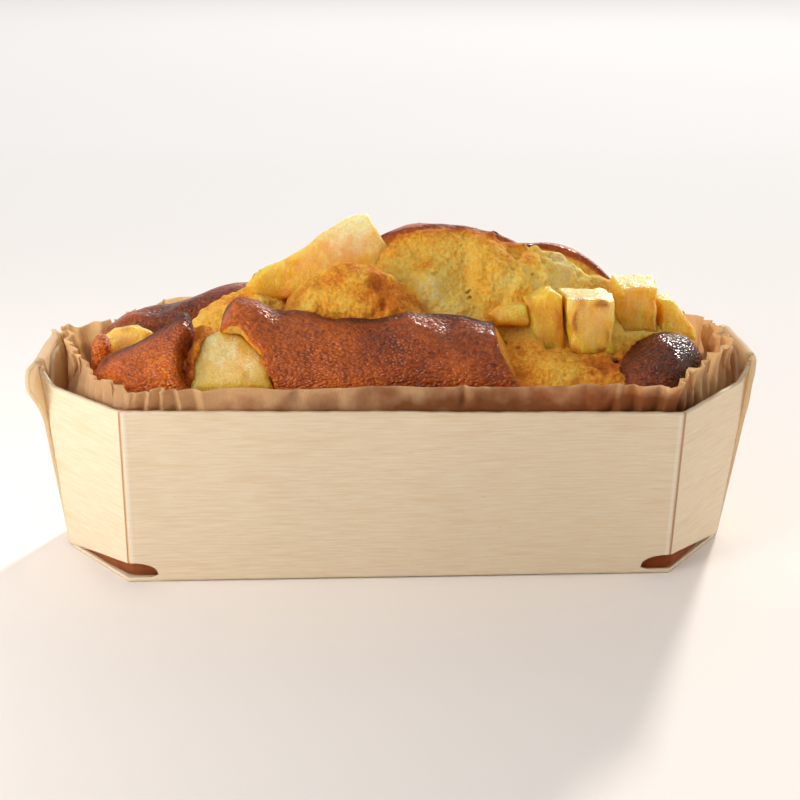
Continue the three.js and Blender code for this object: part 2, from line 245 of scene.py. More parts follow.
def base_and_flaps(seed):
    """The base, bent up at both ends into fan-shaped flaps whose top edges fold over inwards."""
    bend, top, roll, lip = 1.3, 57.3, 1.3, 5.0
    foot = BASE_FOLDS[3, 0] - bend
    lean = math.atan((tray_hi[0] - BASE_FOLDS[3, 0]) / top)
    base_x = np.concatenate([
        np.linspace(0, 64, 40)[:-1], np.linspace(64, 73, 20), np.linspace(73.5, foot, 22)])
    path = [(x, 0.0) for x in base_x]
    path += [(foot + bend * math.sin(a), bend - bend * math.cos(a))
             for a in np.linspace(0.2, math.pi / 2 - lean, 6)]
    start = np.array(path[-1])
    rise = np.array([math.sin(lean), math.cos(lean)])
    steps = np.concatenate([np.linspace(2, 38, 14), np.linspace(39.5, top - roll - start[1], 22)])
    path += [tuple(start + rise * s) for s in steps]
    crown = np.array(path[-1])
    turn = np.linspace(0.3, math.radians(172), 9)
    path += [tuple(crown + roll * np.array([-1 + math.cos(a), math.sin(a)])) for a in turn]
    down = np.array([-math.sin(turn[-1]), math.cos(turn[-1])])
    edge = np.array(path[-1])
    path += [tuple(edge + down * s) for s in np.linspace(0.6, lip, 8)]
    path = np.array(path)
    run = np.concatenate([[0], np.cumsum(np.linalg.norm(np.diff(path, axis=0), axis=1))])
    z = path[:, 1]
    on_base = run <= foot
    width = np.where(path[:, 0] < 72.5, 29.4, np.interp(path[:, 0], [72.5, 92.1], [29.4, 6.8]))
    risen = np.interp(z, [0, 39, 46, 51], [6.8, 12.6, 15.6, 18.2])
    round_top = np.sqrt(np.clip(1 - np.clip((z - (top - 5.5)) / 6.0, 0, 1) ** 2, 0, 1))
    risen = np.where(z > top - 5.5, 18.4 - 5.5 * (1 - round_top), risen)
    width = np.where(on_base, width, risen)
    after_crown = run > run[len(base_x) + 6 + len(steps)]
    width = np.where(after_crown, 11.5 - 0.25 * (run - run[-1] + lip), width)

    across = np.sin(np.linspace(-1, 1, 31) * math.pi / 2)
    both_ends = []
    for side in (-1, 1):
        y = width[:, None] * across
        x = side * path[:, 0][:, None] + 0 * y
        height = z[:, None] + 0 * y
        wing = smooth_step(11, 20, abs(y)) * smooth_step(36, 50, height)
        x = x + side * wing * (1.6 if side < 0 else -0.9)
        y = y - (2.2 if side < 0 else -2.2) * wing * (y < 0)
        x = x + side * smooth_step(5, 50, height) * wobble(y, seed + side, 40, 0.35)
        both_ends.append(np.stack([x, y, height], -1))
    grid = np.concatenate([both_ends[0][:0:-1], both_ends[1]])
    signed_run = np.concatenate([-run[:0:-1], run])
    middle_lift = 0.55 * np.clip(1 - (grid[..., 0] / 74) ** 2, 0, 1) * (grid[..., 2] < 0.1)
    grid[..., 2] += middle_lift
    outward = grid_normals(grid)
    outward *= np.sign(-outward[len(grid) // 2, 15, 2])
    inner = grid - outward * VENEER
    uv = np.stack(np.broadcast_arrays(signed_run[:, None], grid[..., 1]), -1).reshape(-1, 2)
    score = bump(abs(signed_run), foot + 1, 0.7)[:, None] + 0 * across
    free = smooth_step(5, 30, grid[..., 2])
    return grid, inner, uv, {"score": score.ravel(), "lip": np.zeros(score.size), "free": free.ravel()}


def turned(strip, flip_x, flip_y):
    outer, inner, uv, values = strip
    flip = np.array([-1 if flip_x else 1, -1 if flip_y else 1, 1])
    return outer * flip, inner * flip, uv + [37.0 * flip_x, 91.0 * flip_y], values


def joined(name, strips):
    points, faces, uvs, values, start = [], [], [], {"score": [], "lip": [], "free": []}, 0
    for outer, inner, uv, marks in strips:
        strip_points, strip_faces = sheet_solid(outer, inner)
        points.append(strip_points)
        faces.extend((strip_faces + start).tolist())
        uvs.append(np.concatenate([uv, uv + [0, 0.7]]))
        for key in values:
            values[key].append(np.concatenate([marks[key], marks[key] * (key == "free")]))
        start += len(strip_points)
    merged_values = {key: np.concatenate(v) for key, v in values.items()}
    piece = mesh_object(name, np.concatenate(points), faces, np.concatenate(uvs), merged_values)
    faces_outwards(piece)
    return piece


vent_lip = under_vent_strip()
mould = joined("veneer_mould", [
    side_strip(11, (51.6, 49.5), 0.0),
    turned(side_strip(23, (50.3, 50.6), 1.3), True, True),
    base_and_flaps(31),
    vent_lip,
    turned(vent_lip, True, False),
    turned(vent_lip, False, True),
    turned(vent_lip, True, True),
])


def colour(hex_code):
    """An sRGB hex colour as the linear colour a shader takes."""
    parts = [int(hex_code[i:i + 2], 16) / 255 for i in (1, 3, 5)]
    return [c / 12.92 if c <= 0.04045 else ((c + 0.055) / 1.055) ** 2.4 for c in parts] + [1.0]


def add(tree, kind, *inputs, stops=(), **settings):
    """Adds a shader node. Inputs come in order, or by name with a capital letter, and each is a
    value, a hex colour, a node or an output. Lower-case settings are the node's own properties."""
    node = tree.nodes.new("ShaderNode" + kind)
    for key, value in settings.items():
        if key[0].islower():
            setattr(node, key, value)
    enabled = [socket for socket in node.inputs if socket.enabled]
    given = list(zip(enabled, inputs))
    for key, value in settings.items():
        if key[0].isupper():
            given.append((next(s for s in enabled if s.name == key.replace("_", " ")), value))
    for socket, value in given:
        if isinstance(value, bpy.types.Node):
            value = next(output for output in value.outputs if output.enabled)
        if isinstance(value, bpy.types.NodeSocket):
            tree.links.new(value, socket)
        else:
            socket.default_value = colour(value) if isinstance(value, str) else value
    if stops:
        elements = node.color_ramp.elements
        for position, hex_code in stops[2:]:
            elements.new(position)
        for element, (position, hex_code) in zip(elements, stops):
            element.position, element.color = position, colour(hex_code)
    return node


def new_material(name):
    material = bpy.data.materials.new(name)
    material.use_nodes = True
    material.node_tree.nodes.clear()
    return material, material.node_tree


def veneer_material():
    """Poplar veneer, rotary cut and unfinished: pale cream, matt, with a fine straight grain of
    slightly darker lines, faint yellow bands where growth rings are cut through, and a warm glow
    where light comes through it."""
    material, tree = new_material("poplar_veneer")
    uv = add(tree, "UVMap", uv_map="grain")
    grains = []
    for length_mm, width_mm, detail, rough in (
            (9, 0.5, 3, 0.6), (1.6, 0.35, 2, 0.7), (24, 3.2, 2, 0.5), (2.4, 0.3, 1, 0.5)):
        drawn_out = add(tree, "Mapping", uv, Scale=(1 / length_mm, 1 / width_mm, 1))
        grains.append(add(tree, "TexNoise", drawn_out, Scale=1.0, Detail=detail, Roughness=rough))
    lines, fibres, bands, flecks = grains
    tone = add(tree, "ValToRGB", lines, stops=[(0.30, "#E2CBA8"), (0.50, "#EAD5B5"), (0.70, "#F0E0C6")])
    band = add(tree, "ValToRGB", bands, stops=[(0.56, "#000000"), (0.78, "#AAAAAA")])
    tone = add(tree, "Mix", band, tone, "#DDB57C", data_type="RGBA")
    fleck = add(tree, "ValToRGB", flecks, stops=[(0.73, "#000000"), (0.80, "#A0A0A0")])
    tone = add(tree, "Mix", fleck, tone, "#A97C4E", data_type="RGBA")
    pale = add(tree, "ValToRGB", fibres, stops=[(0.0, "#000000"), (1.0, "#818181")])
    tone = add(tree, "Mix", pale, tone, "#F4E8D4", data_type="RGBA")
    score, lip, free = [
        add(tree, "Attribute", attribute_name=key).outputs["Fac"] for key in ("score", "lip", "free")]
    fresh_cut = add(tree, "Math", lip, 0.6, operation="MULTIPLY", use_clamp=True)
    tone = add(tree, "Mix", fresh_cut, tone, "#FBF3E2", data_type="RGBA")
    scored = add(tree, "Math", score, 0.9, operation="MULTIPLY", use_clamp=True)
    tone = add(tree, "Mix", scored, tone, "#C08340", data_type="RGBA")
    relief = add(tree, "Math", lines, 0.5, fibres, operation="MULTIPLY_ADD")
    normal = add(tree, "Bump", Height=relief, Strength=0.5, Distance=0.16 * MM)
    surface = add(tree, "BsdfPrincipled", Base_Color=tone, Normal=normal,
                  Roughness=0.72, Specular_IOR_Level=0.25)
    glow = add(tree, "BsdfTranslucent", "#FFEECE")
    thin = add(tree, "Math", free, 0.42, 0.06, operation="MULTIPLY_ADD")
    add(tree, "OutputMaterial", add(tree, "MixShader", thin, surface, glow))
    return material


mould.data.materials.append(veneer_material())
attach(mould, "root")
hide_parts("wood_tray")


# ---- paper liner ----
# A case of unbleached baking paper, pressed to shape in pleats. It lines the mould and stands
# 3 to 10 mm above its rim. Butter darkens it in blotches where the cake touches.
PAPER = 0.16
AIR = 0.35  # between the veneer and the paper
LINER_FOOT = 1.7


def mould_inside(z, inset):
    """The octagon inside the mould at one height: half length, half width and the fold places."""
    t = z / RIM_Z
    length = BASE_HALF_LENGTH + 2.6 * t - inset - 0.9 * smooth_step(0, 40, z)
    width = BASE_HALF_WIDTH + 8.2 * t - inset
    run_x, run_y = 19.6 + 4.2 * t, 23.0 + 2.0 * t
    ease = inset * (2 - math.sqrt(2))
    return length, width, length - run_x + ease, width - run_y + ease


def ring_inside(z, inset, count):
    """Points round the inside octagon, anticlockwise from the front left fold, evenly spaced."""
    length, width, fold_x, fold_y = mould_inside(z, inset)
    corners = np.array([
        (-fold_x, -width), (fold_x, -width), (length, -fold_y), (length, fold_y),
        (fold_x, width), (-fold_x, width), (-length, fold_y), (-length, -fold_y), (-fold_x, -width),
    ])
    run = np.concatenate([[0], np.cumsum(np.linalg.norm(np.diff(corners, axis=0), axis=1))])
    at = np.linspace(0, 1, count, endpoint=False) * run[-1]
    points = np.stack([np.interp(at, run, corners[:, i]) for i in (0, 1)], -1)
    spread = np.exp(-(np.arange(-12, 13) / 5.0) ** 2)
    spread /= spread.sum()
    padded = np.concatenate([points[-12:], points, points[:12]])
    return np.stack([np.convolve(padded[:, i], spread, "valid") for i in (0, 1)], -1), at


def liner_geometry():
    count = 1180
    rim_ring, at = ring_inside(RIM_Z, VENEER + AIR, count)
    x, y = rim_ring.T
    front, right, left = y < -34, x > 70, x < -68
    back = (y > 34) & ~right & ~left

    # pleat width and depth round the ring: tight at the front left, nearly smooth along the
    # middle of the front, wide at the front right and crushed round the ends
    pitch = np.full(count, 5.0)
    depth = np.full(count, 2.1)
    middle = front & (x > -48) & (x < 47)
    pitch[middle], depth[middle] = 9.0, 0.22
    wide = front & (x >= 47)
    pitch[wide], depth[wide] = 6.2, 1.9
    pitch[right], depth[right] = 5.0, 2.6
    pitch[left], depth[left] = 4.4, 1.5
    pitch[back], depth[back] = 5.4, 1.2
    blend = np.ones(31) / 31

    def ringed(values):
        return np.convolve(np.concatenate([values[-15:], values, values[:15]]), blend, "valid")

    pitch, depth = ringed(pitch), ringed(depth)
    step = np.linalg.norm(np.roll(rim_ring, -1, 0) - rim_ring, axis=1)
    uneven = 1 + wobble(at, 5, 23, 0.35)
    turns = np.cumsum(step / pitch * uneven)
    turns *= round(turns[-1]) / turns[-1]
    saw = turns % 1
    fold = np.where(saw < 0.74, saw / 0.74, (1 - saw) / 0.26)
    number = np.floor(turns).astype(int)
    dice = np.random.default_rng(8)
    each = dice.uniform(-1, 1, (number.max() + 2, 3))
    pleat_height, pleat_lean = each[number, 0], each[number, 1]

    smooth_part = ringed(middle.astype(float))
    creases = sum(
        size * bump(x, place, width) * front
        for place, width, size in (
            (-27, 1.6, 0.7), (-9, 2.2, 0.5), (14.5, 0.9, 1.3), (17.5, 1.3, -0.8), (33, 2.0, 0.6))
    )
    top = 57.2 + 0.9 * pleat_height * (1 - smooth_part) + wobble(at, 9, 50, 0.5)
    top = top + 1.2 * bump(x, -90, 9) * bump(y, 10, 12) + ringed(1.7 * (back | right) - 0.4 * left)
    lines = np.concatenate([[LINER_FOOT, 4, 9, 18, 28, 36, 41], np.linspace(44, 50, 7)[:-1], [50.0]])
    above = np.linspace(0, 1, 15)[1:]
    outward_2d = np.stack([y - np.roll(y, 1), np.roll(x, 1) - x], -1)
    outward_2d = outward_2d + np.roll(outward_2d, -1, 0)
    outward_2d /= np.linalg.norm(outward_2d, axis=1, keepdims=True)
    tangent = np.stack([-outward_2d[:, 1], outward_2d[:, 0]], -1)

    left_end = ringed(smooth_step(-78, -88, x) * smooth_step(-28, -18, y) * smooth_step(6, -3, y))
    right_end = ringed(smooth_step(74, 88, x) * smooth_step(-34, -22, y) * smooth_step(26, 14, y))
    at_corner = ringed(((abs(x) > 73) & (abs(y) > 12)).astype(float))
    rows, heights = [], []
    for row in range(len(lines) + len(above)):
        if row < len(lines):
            z = np.full(count, lines[row])
            ring, _ = ring_inside(lines[row], VENEER + AIR, count)
            climb = np.zeros(count)
        else:
            climb = above[row - len(lines)] * (top - RIM_Z)
            z = RIM_Z + climb
            ring = rim_ring + outward_2d * (climb * 0.155)[:, None]
        share = smooth_step(4, 50, z) * 0.75 + 0.25 * smooth_step(48, 56, z)
        inward = fold * depth * share + creases * share * (climb > 0) * smooth_step(0, 4, climb)
        flare = smooth_step(0, 7, climb) * (0.9 * depth / 1.5 - 0.3 * smooth_part) * ~(right | left)
        crush = (right | left) * smooth_step(0, 6, climb) * (1.1 * pleat_lean - 0.8)
        crush = crush - left_end * 6.0 * smooth_step(38, 55, z)
        crush = crush - right_end * 2.2 * smooth_step(40, 56, z)
        crush = crush + at_corner * smooth_step(8, 4, z)
        slant = pleat_lean * 0.45 * climb * (1 - smooth_part) * 0.5
        ripple = wobble(at + 3 * climb, 14, 17, 0.16) * smooth_step(0, 6, climb)
        plan = ring + outward_2d * (flare + crush + ripple - inward)[:, None] + tangent * slant[:, None]
        rows.append(np.concatenate([plan, z[:, None]], 1))
        heights.append(z)
    return np.array(rows), np.array(heights), at


def ring_solid(outer, thickness):
    """A cup from rings, foot first: walls with thickness, and a flat closed foot."""
    rows, count = outer.shape[:2]
    wrapped = np.concatenate([outer[:, -1:], outer, outer[:, :1]], 1)
    normal = grid_normals(wrapped)[:, 1:-1]
    centre = outer.mean(axis=(0, 1))
    if ((outer - centre)[..., :2] * normal[..., :2]).sum() < 0:
        normal = -normal
    inner = outer - normal * thickness
    index = np.arange(rows * count).reshape(rows, count)
    beside = np.roll(index, -1, 1)
    wall = np.stack([index[:-1], beside[:-1], beside[1:], index[1:]], -1).reshape(-1, 4)
    total = rows * count
    lip = np.stack([index[-1], beside[-1], beside[-1] + total, index[-1] + total], -1)
    faces = wall.tolist() + (wall[:, ::-1] + total).tolist() + lip.tolist()
    faces.append(index[0][::-1].tolist())
    inner[0, :, 2] += thickness
    faces.append((index[0] + total).tolist())
    return np.concatenate([outer.reshape(-1, 3), inner.reshape(-1, 3)]), faces


liner_rows, liner_heights, liner_run = liner_geometry()
liner_points, liner_faces = ring_solid(liner_rows, PAPER)
liner_uv = np.stack(np.broadcast_arrays(liner_run[None, :], liner_heights), -1).reshape(-1, 2)
liner = mesh_object("pleated_liner", liner_points, liner_faces, np.tile(liner_uv, (2, 1)))
faces_outwards(liner)


def paper_material():
    """Unbleached baking paper: tan, matt, with short pale fibres. Butter soaks in and makes it
    darker low down, and light from behind shows warm through the dry top edge."""
    material, tree = new_material("baking_paper")
    place = add(tree, "TexCoord").outputs["Object"]
    uv = add(tree, "UVMap", uv_map="grain")
    fibres = add(tree, "TexNoise", add(tree, "Mapping", uv, Scale=(1 / 0.5, 1 / 1.6, 1)),
                 Scale=1.0, Detail=4.0, Roughness=0.7)
    blotch = add(tree, "TexNoise", place, Scale=1 / (9 * MM), Detail=3.0)
    height = add(tree, "SeparateXYZ", uv).outputs["Y"]
    low = add(tree, "MapRange", height, 57.5, 51.5, 0.0, 0.42)
    across = add(tree, "SeparateXYZ", place).outputs["X"]
    # the butter darkening is cut back towards the left and towards the right end, so the paper is paler
    # there
    paler_left = add(tree, "MapRange", across, -60 * MM, 10 * MM, -0.4, 0.04)
    paler_right = add(tree, "MapRange", across, 66 * MM, 86 * MM, 0.0, -0.5)
    paler_ends = add(tree, "Math", paler_left, paler_right, operation="ADD")
    buttery = add(tree, "Math", blotch, 1.25, low, operation="MULTIPLY_ADD")
    buttery = add(tree, "Math", buttery, paler_ends, operation="ADD")
    soaked = add(tree, "ValToRGB", buttery, stops=[(0.58, "#000000"), (1.0, "#FFFFFF")])
    dry = add(tree, "ValToRGB", fibres, stops=[(0.3, "#D2AC7E"), (0.7, "#EBD0A6")])
    wet = add(tree, "ValToRGB", fibres, stops=[(0.3, "#8A5A34"), (0.7, "#A87446")])
    tone = add(tree, "Mix", soaked, dry, wet, data_type="RGBA")
    foot = add(tree, "MapRange", height, 24.0, 8.0, 0.0, 0.9)
    tone = add(tree, "Mix", foot, tone, "#A8501C", data_type="RGBA")
    normal = add(tree, "Bump", Height=fibres, Strength=0.3, Distance=0.08 * MM)
    surface = add(tree, "BsdfPrincipled", Base_Color=tone, Normal=normal,
                  Roughness=0.6, Specular_IOR_Level=0.3)
    glow = add(tree, "BsdfTranslucent", add(tree, "Mix", soaked, "#FFE8C2", "#E09A50", data_type="RGBA"))
    add(tree, "OutputMaterial", add(tree, "MixShader", 0.56, surface, glow))
    return material


liner.data.materials.append(paper_material())
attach(liner, "root")
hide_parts("paper_liner")


# ---- pear chunks: their shapes ----
# Ripe pear, peeled and cut into cubes and slices, stirred into the batter. Baking softens the
# cut edges. The shapes come first because the cake keeps a pocket for each.
# the fade value makes each chunk paler towards its top, painted light on the tops
PEARS = {
    "pear_front": dict(
        outline=[(-9.5, -8), (11, -8), (8.2, 1), (2.7, 7.2), (-3.5, 7.7), (-8, 4.6), (-9.8, -0.7)],
        thickness=9, at=(-43.6, -24, 59.2), turn=0, lean=38, amber=0.20, lit_top_fade=0.2, toast=0.1),
    "pear_shard": dict(
        outline=[(-20.8, -5.3), (-17, -9), (18, -9), (20.5, -0.2), (14.2, 8.4), (11.8, 13.3),
                 (5.7, 12.2), (-6.4, 3.6), (-16.7, -1)],
        thickness=7, at=(-20, 4.5, 77.5), turn=4, lean=20, amber=0.42, lit_top_fade=1.1, toast=0.6),
    "pear_cube_left": dict(
        outline=[(-5.4, -8), (5.2, -7.6), (5.2, 6.6), (-7.2, 7.2)],
        thickness=12, at=(49.8, -14, 67), turn=2, lean=4, amber=0.34, lit_top_fade=0.3, toast=1.0),
    "pear_cube_right": dict(
        outline=[(-5.2, -7), (5.8, -6.6), (5, 6.4), (-5.2, 6.2)],
        thickness=13, at=(63.6, -5, 68.8), turn=-3, lean=0, amber=0.44, lit_top_fade=0.3, toast=0.3),
    "pear_wedge": dict(
        outline=[(-1.8, -8), (4.6, -8), (3.2, 6.8), (0.5, 8.4), (-6.2, 6)],
        thickness=9, at=(38.6, -12.5, 66.4), turn=-4, lean=12, amber=0.62, lit_top_fade=0.3, toast=0.5),
    "pear_sliver": dict(
        outline=[(-4, -5.5), (5.5, -5), (5, -1.5), (-1, 5.5), (-4, 5.5)],
        thickness=9, at=(74.2, -5, 64.5), turn=0, lean=8, amber=0.52, lit_top_fade=0.3, toast=0.2),
    "pear_lens": dict(
        outline=[(-2.2, -3), (5, -2.4), (4.8, 1.2), (-2.5, 2.2), (-5.5, -0.5)],
        thickness=7, at=(27.6, -12.5, 68.4), turn=0, lean=30, amber=0.6, lit_top_fade=0.3, toast=0.2),
    "pear_left": dict(
        outline=[(-8, -5), (7, -5), (6.5, 2.5), (2, 4.7), (-3.3, 3.7), (-7.7, -0.5)],
        thickness=9, at=(-73.5, 2, 56.4), turn=0, lean=25, amber=0.40, lit_top_fade=0.4, toast=0.6),
    "pear_back_left": dict(
        outline=[(-7, -6), (6.4, -6.5), (7, 5.6), (-6.2, 6.4)],
        thickness=11, at=(-27, 22, 62), turn=170, lean=35, amber=0.3, lit_top_fade=0.3, toast=0.4),
    "pear_back_right": dict(
        outline=[(-6.4, -6), (6, -6.6), (5.4, 6.2), (-5.6, 5.6)],
        thickness=12, at=(47, 25, 63.5), turn=200, lean=30, amber=0.4, lit_top_fade=0.3, toast=0.4),
}


class Lattice:
    """A box of evenly spaced sample points, in millimetres, for shapes given as distances."""

    def __init__(self, low, high, step):
        self.low, self.step = np.array(low, float), step
        self.shape = tuple(int(math.ceil((b - a) / step)) + 1 for a, b in zip(low, high))
        axes = [a + np.arange(n) * step for a, n in zip(low, self.shape)]
        self.x, self.y, self.z = np.meshgrid(
            *[a.astype(np.float32) for a in axes], indexing="ij", sparse=True)

    def noise(self, size, seed):
        """Smooth noise with lumps of about this size: random values on a coarse box, splined."""
        dice = np.random.default_rng(seed)
        ratio = self.step / size
        coarse = dice.standard_normal([int(n * ratio) + 5 for n in self.shape]).astype(np.float32)
        for axis, count in enumerate(self.shape):
            at = np.arange(count) * ratio
            whole = at.astype(int)
            f = at - whole
            weights = np.zeros((count, coarse.shape[axis]), np.float32)
            for k, w in enumerate([(1 - f) ** 3 / 6, (3 * f ** 3 - 6 * f ** 2 + 4) / 6,
                                   (-3 * f ** 3 + 3 * f ** 2 + 3 * f + 1) / 6, f ** 3 / 6]):
                weights[np.arange(count), whole + k] = w
            coarse = np.moveaxis(np.tensordot(weights, coarse, (1, axis)), 0, axis)
        return coarse * 3.0

    def sample(self, values, points):
        """The values at any points inside the box, from the eight samples round each."""
        at = np.clip((points - self.low) / self.step, 0, np.array(self.shape) - 1.001)
        whole = at.astype(int)
        f = at - whole
        total = 0
        for corner in np.ndindex(2, 2, 2):
            weight = np.prod([f[:, i] if corner[i] else 1 - f[:, i] for i in range(3)], axis=0)
            total = total + weight * values[tuple(whole[:, i] + corner[i] for i in range(3))]
        return total

    def surface(self, distance):
        """The surface where the distance is nought: points, then four-sided faces."""
        grid = vdb.FloatGrid(9.0)
        grid.copyFromArray(np.ascontiguousarray(np.clip(distance, -9, 9), np.float32))
        points, triangles, quads = grid.convertToPolygons(0.0, 0.0)
        faces = [f[::-1] for f in quads.tolist()] + [f[::-1] for f in triangles.tolist()]
        return self.low + points * self.step, faces


def into_pear(pear, x, y, z):
    """Points in a chunk's own frame: right and up in its outline, and through its thickness."""
    lean, turn = math.radians(90 - pear["lean"]), math.radians(pear["turn"])
    x, y, z = x - pear["at"][0], y - pear["at"][1], z - pear["at"][2]
    u = x * math.cos(turn) + y * math.sin(turn)
    flat = -x * math.sin(turn) + y * math.cos(turn)
    v = flat * math.cos(lean) + z * math.sin(lean)
    w = -flat * math.sin(lean) + z * math.cos(lean)
    return u, v, w


def outline_distance(outline, u, v, shrink):
    """Distance from an outline, negative inside, with every side moved in by shrink."""
    corners = np.array(outline, float)
    nearest, inside = None, 1.0
    for (ax, ay), (bx, by) in zip(corners, np.roll(corners, -1, 0)):
        ex, ey = bx - ax, by - ay
        wx, wy = u - ax, v - ay
        t = np.clip((wx * ex + wy * ey) / (ex * ex + ey * ey), 0, 1)
        away = (wx - ex * t) ** 2 + (wy - ey * t) ** 2
        nearest = away if nearest is None else np.minimum(nearest, away)
        above, below, left = v >= ay, v < by, ex * wy > ey * wx
        crossing = (above & below & left) | (~above & ~below & ~left)
        inside = np.where(crossing, -inside, inside)
    return inside * np.sqrt(nearest) + shrink


PEAR_ROUND = 1.5  # how far baking has softened the cut edges


def pear_distance(pear, x, y, z):
    u, v, w = into_pear(pear, x, y, z)
    flat = outline_distance(pear["outline"], u, v, PEAR_ROUND)
    deep = abs(w) - pear["thickness"] / 2 + PEAR_ROUND
    outside = np.sqrt(np.maximum(flat, 0) ** 2 + np.maximum(deep, 0) ** 2)
    return np.minimum(np.maximum(flat, deep), 0) + outside - PEAR_ROUND, flat, deep, v, w


# ---- cake ----
# The loaf itself, baked as one piece. It rose in lobes with a smooth brown crust, split along
# the middle, and the split shows open yellow crumb, browned where it was near the skin.
cake_lo, cake_hi = [np.array(corner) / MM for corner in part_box("cake")]
CAKE_STEP = 0.62
CAKE_CUT = 45.0  # below this the sides are plain, behind the paper
SIDE_INSET = 1.65  # of those sides, from the veneer's inner face
box = Lattice((-91.0, -37.6, CAKE_CUT - 1.4), (91.0, 37.6, cake_hi[2] + 5), CAKE_STEP)


def ellipsoid(at, half, turn=0.0, tip=0.0):
    """Distance from a risen lobe: turn is about the vertical, tip lifts its +X end, in degrees."""
    x, y, z = box.x - at[0], box.y - at[1], box.z - at[2]
    ct, st = math.cos(math.radians(turn)), math.sin(math.radians(turn))
    x, y = x * ct + y * st, -x * st + y * ct
    cp, sp = math.cos(math.radians(tip)), math.sin(math.radians(tip))
    x, z = x * cp + z * sp, -x * sp + z * cp
    a = np.sqrt((x / half[0]) ** 2 + (y / half[1]) ** 2 + (z / half[2]) ** 2)
    b = np.sqrt((x / half[0] ** 2) ** 2 + (y / half[1] ** 2) ** 2 + (z / half[2] ** 2) ** 2)
    return (a * (a - 1) / np.maximum(b, 1e-4)).astype(np.float32)


def blend_in(a, b, width):
    """Joins two shapes with a fillet of about this width."""
    h = np.maximum(width - abs(a - b), 0) / width
    return np.minimum(a, b) - h * h * width / 4


def plane(point, towards):
    """Distance in front of a plane through a point, facing a direction."""
    n = np.array(towards, float)
    n /= np.linalg.norm(n)
    return (box.x - point[0]) * n[0] + (box.y - point[1]) * n[1] + (box.z - point[2]) * n[2]


def swept(ridge, front, back, foot):
    """Distance from a long swell under a ridge line of (x, y, z) points. It falls in a quarter
    round ahead and behind over those reaches, and plainly below its foot height."""
    knots = np.array(ridge, float)
    x = box.x.ravel()
    kernel = np.hanning(9) / np.hanning(9).sum()
    lines = [np.pad(np.interp(x, knots[:, 0], knots[:, i]), 4, "edge") for i in (1, 2)]
    ridge_y, ridge_z = [np.convolve(line, kernel, "valid")[:, None, None] for line in lines]
    rise = np.maximum(ridge_z - foot, 0.3)
    reach = np.where(box.y < ridge_y, front, back) * np.sqrt(np.minimum(rise / 8, 1))
    u, v = (box.y - ridge_y) / reach, np.maximum(box.z - foot, 0) / rise
    a, b = np.sqrt(u * u + v * v), np.sqrt((u / reach) ** 2 + (v / rise) ** 2)
    crumple = 0.35 * knobs * np.exp(-(((box.y - ridge_y) / 3.5) ** 2))
    swell = 0.8 * a * (a - 1) / np.maximum(b, 1e-4) + crumple
    return np.maximum(swell, np.maximum(knots[0, 0] - box.x, box.x - knots[-1, 0])).astype(np.float32)


lumps = box.noise(11, 101)
knobs = box.noise(4.5, 102)
grit = box.noise(2.2, 103)
fine = box.noise(1.25, 104)

# the crust's lobes: long swells that end in a torn lip where the loaf split, and domes behind
left_ridge = [(-84, -20, 50), (-80.5, -21, 55), (-77, -22, 59.5), (-69.5, -22, 63.8), (-60.5, -22, 68.6),
              (-55.5, -22, 72), (-53.5, -22, 70.5), (-52, -22, 63), (-51, -22, 50)]
front_left = swept(left_ridge, 14.5, 6, 49)
hollow = 8.5 - np.sqrt((box.x + 48.5) ** 2 + (box.y + 31) ** 2 + ((box.z - 62) * 0.8) ** 2)
front_left = -blend_in(-front_left, -hollow, 2)
long_ridge = [(-49, -20, 50), (-46.5, -20, 69.5), (-42.5, -20, 76), (-37, -20, 76), (-31.5, -21, 71.8),
              (-18.5, -21.5, 69.8), (-4.5, -21, 70.6), (2, -21, 72.4), (12, -21, 70.4),
              (23, -21, 69.6), (33, -21, 69), (37, -21, 50)]
front_long = swept(long_ridge, 14.8, 5, 50)
front_long_torn = np.maximum(front_long, plane((23.2, -21, 69.5), (0.89, -0.1, 0.45)) + 0.3 * knobs)
front_right = swept([(49, -19, 49), (52, -19, 55.4), (57.5, -19, 58.4), (64, -18.5, 62), (69, -18, 64.6),
                     (72, -18, 64.2), (75.5, -17.5, 62.2), (80, -17, 58), (84, -17, 52), (86, -17, 49)],
                    16, 12, 49)
back_left = swept([(-85, 14, 49), (-82, 14, 56), (-76, 14, 60.4), (-62.5, 14, 64.2), (-52, 14, 67.4),
                   (-45, 13.5, 69.4), (-36, 13, 70), (-24, 14, 68), (-10, 14, 62), (0, 14, 49)],
                  10, 20, 49)
back_left_torn = np.maximum(back_left, plane((-60, 7.5, 62), (0, -1, 0.35)) + 0.6 * knobs)
back_high = ellipsoid((12, 5, 62), (36, 25, 26))
back_right = ellipsoid((38, 15, 52), (30, 19, 29), tip=-3)
back_far = ellipsoid((57, 19, 50), (20, 16, 17))
back_low = ellipsoid((0, 25, 50), (62, 10.5, 17))
knob = ellipsoid((-79.4, -9, 54), (4.2, 4.6, 7.4))

# the split's crumb
loaf = ellipsoid((2, 0, 46), (84, 40, 14.5))
hump = swept([(-33, -11, 60), (-30, -11, 72), (-22, -11, 77.6), (-14.5, -11, 81.6), (-8, -11, 80.8),
              (1, -11, 76.2), (5.6, -11, 71), (8, -11, 60)], 10, 10, 60)
torn_left = blend_in(ellipsoid((-42, 0, 57), (16, 13, 14)), ellipsoid((-35, 4, 62), (8, 8, 14.5)), 6)
ridge = swept([(16, 4, 60), (20, 4, 82), (25, 4, 84.4), (36, 4, 81.6), (44.5, 4, 77.8), (53, 4, 74.4),
               (59, 4, 72.2), (66, 4, 68), (72, 4, 61), (74, 4, 56)], 15, 9, 56)
right_crumb = ellipsoid((52, -4, 52), (28, 17, 14.5))
right_slope = ellipsoid((34, -18, 52), (14, 15, 11.5))
right_front = ellipsoid((54, -22, 47), (20, 12.5, 10.5))
far_right = ellipsoid((70, 2, 46), (12, 17, 9))
syrup = ellipsoid((-51.8, -22, 54.5), (5, 9, 13))

